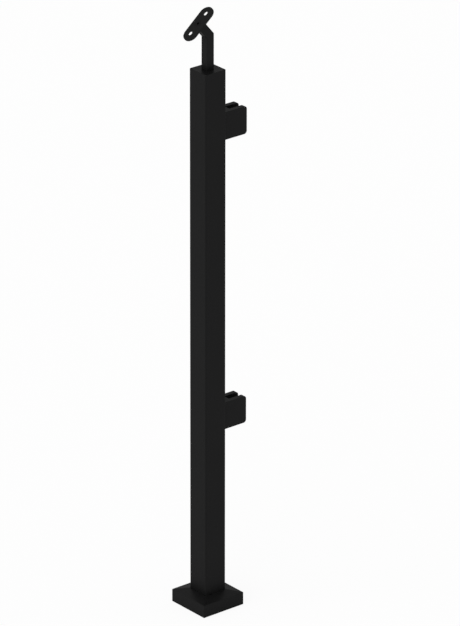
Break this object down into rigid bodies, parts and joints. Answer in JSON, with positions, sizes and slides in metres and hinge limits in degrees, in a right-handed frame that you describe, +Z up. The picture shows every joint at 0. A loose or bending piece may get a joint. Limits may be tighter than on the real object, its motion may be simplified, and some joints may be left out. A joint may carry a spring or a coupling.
{
  "type": "stair bottom post",
  "caption": "Black square balustrade post for the foot of a stair, with a covered base plate, a pitched handrail saddle on top and clamps for a glass panel on one face.",
  "frame": {"origin": "on the floor under the middle of the post, on the underside of the base plate", "axes": "+Z up along the post, +X towards the glass clamps and up the stair, -Y the plain side of the clamps"},
  "size_m": [0.1093, 0.08, 0.9983],
  "materials": {
    "black_coat": "satin black powder coat",
    "black_rubber": "matt black rubber",
    "black_screw": "black oxide steel",
    "zinc_steel": "zinc plated steel"
  },
  "bodies": {
    "root": {"post_tube": "black_coat", "base_plate": "black_coat", "base_cover": "black_coat", "top_cap": "black_coat", "bracket_stem": "black_coat", "stem_stud": "zinc_steel", "saddle_plate": "black_coat", "saddle_screw": "black_screw", "upper_clamp_body": "black_coat", "upper_clamp_plate": "black_coat", "upper_front_gasket": "black_rubber", "upper_rear_gasket": "black_rubber", "upper_clamp_bolt": "black_screw", "upper_rivet_nut": "zinc_steel", "upper_plate_screws": "black_screw", "lower_clamp_body": "black_coat", "lower_clamp_plate": "black_coat", "lower_front_gasket": "black_rubber", "lower_rear_gasket": "black_rubber", "lower_clamp_bolt": "black_screw", "lower_rivet_nut": "zinc_steel", "lower_plate_screws": "black_screw"}
  },
  "joints": []
}
